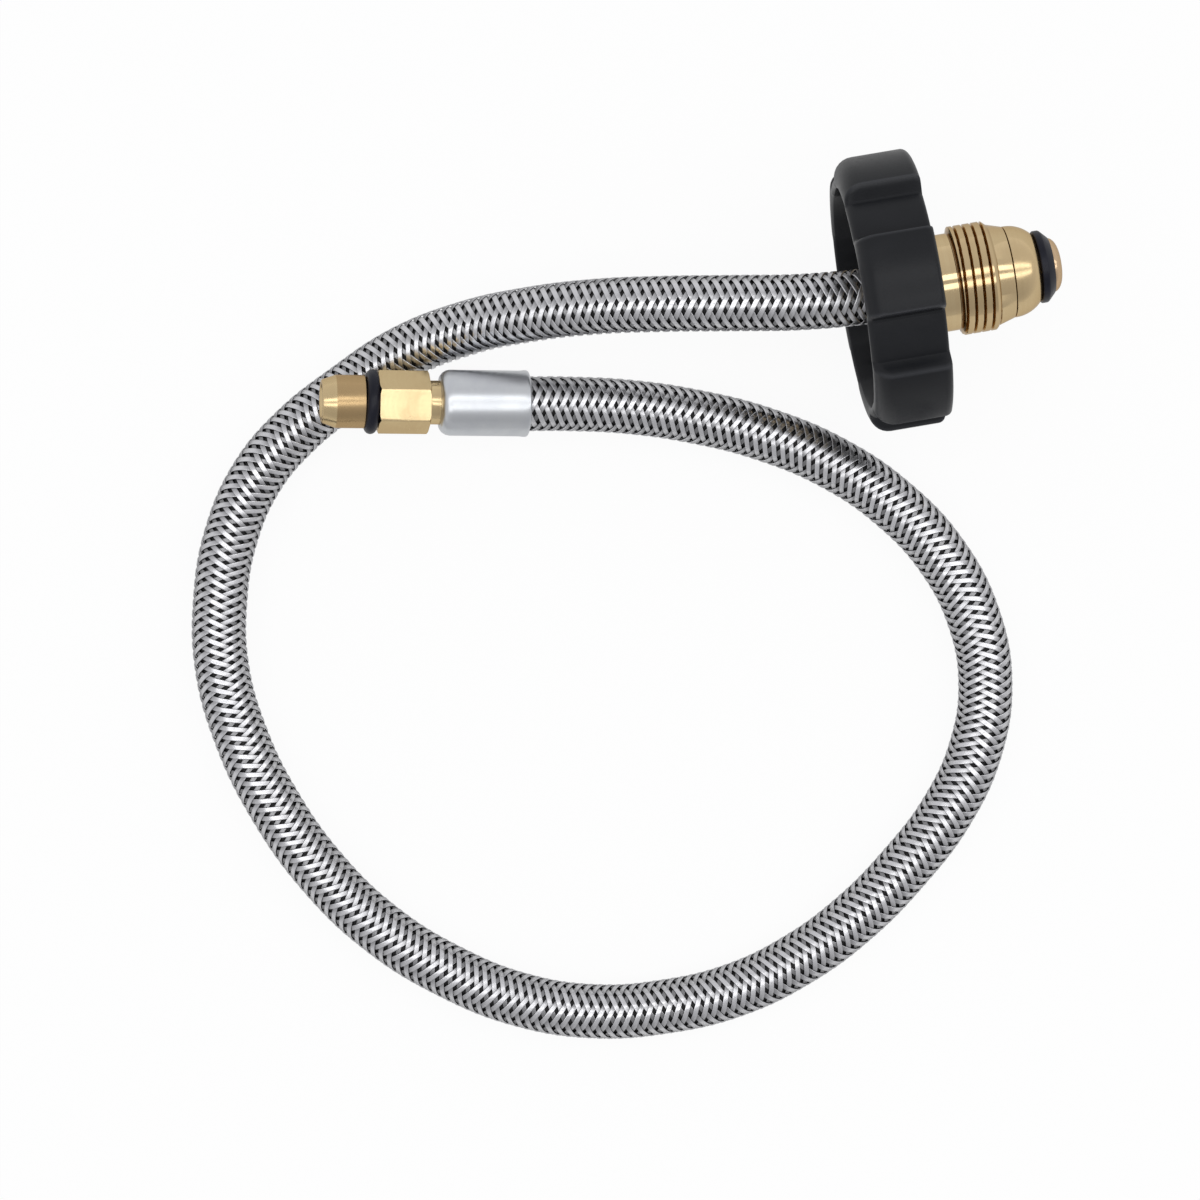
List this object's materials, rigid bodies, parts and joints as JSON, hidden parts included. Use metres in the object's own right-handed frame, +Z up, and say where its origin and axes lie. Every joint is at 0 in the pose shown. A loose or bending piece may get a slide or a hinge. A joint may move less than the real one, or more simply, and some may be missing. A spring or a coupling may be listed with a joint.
{
  "type": "propane cylinder hose",
  "caption": "Braided gas hose in a loose loop, with a black handwheel and left-hand brass cylinder connector on one end and a small brass plug-type fitting on the other.",
  "frame": {"origin": "On the surface that the hose lies on, below the connector's axis, half way between the handwheel's back face and the tip of the brass nose.", "axes": "+X along the connector's axis from the handwheel towards the brass nose, +Z up from the surface, +Y across, on the side away from the hose's loop."},
  "size_m": [0.192, 0.1738, 0.057],
  "materials": {
    "handwheel_plastic": "satin black moulded plastic, fine grain",
    "connector_brass": "turned brass, satin, threads darker in their roots",
    "nose_brass": "turned brass, satin",
    "tip_brass": "turned brass, satin",
    "valve_brass": "turned brass",
    "outlet_brass": "bright machined brass",
    "ring_rubber": "black rubber, slight sheen",
    "spring_steel": "bright spring wire",
    "ferrule_steel": "plated steel, satin, with crimp flats",
    "liner_rubber": "black rubber",
    "braid_steel": "woven stainless steel wire"
  },
  "bodies": {
    "hose_line": {"pol_nipple": "nose_brass", "nose_tip": "tip_brass", "nose_ring": "ring_rubber", "flow_spring": "spring_steel", "pol_ferrule": "ferrule_steel", "hose_liner": "liner_rubber", "hose_braid": "braid_steel", "outlet_ferrule": "ferrule_steel", "outlet_fitting": "outlet_brass", "outlet_ring": "ring_rubber"},
    "wheel_and_nut": {"handwheel": "handwheel_plastic", "pol_nut": "connector_brass"},
    "poppet": {"flow_poppet": "valve_brass"}
  },
  "joints": [
    {"name": "wheel_spin", "type": "hinge", "parent": "hose_line", "child": "wheel_and_nut", "pos_m": [0, 0, 0.0285], "axis": [1, 0, 0], "continuous": true},
    {"name": "poppet_slide", "type": "slide", "parent": "hose_line", "child": "poppet", "axis": [-1, 0, 0], "range_m": [0, 0.0025], "stiffness_N_per_m": 80, "springref_m": -0.002, "deforming": ["flow_spring"]}
  ]
}
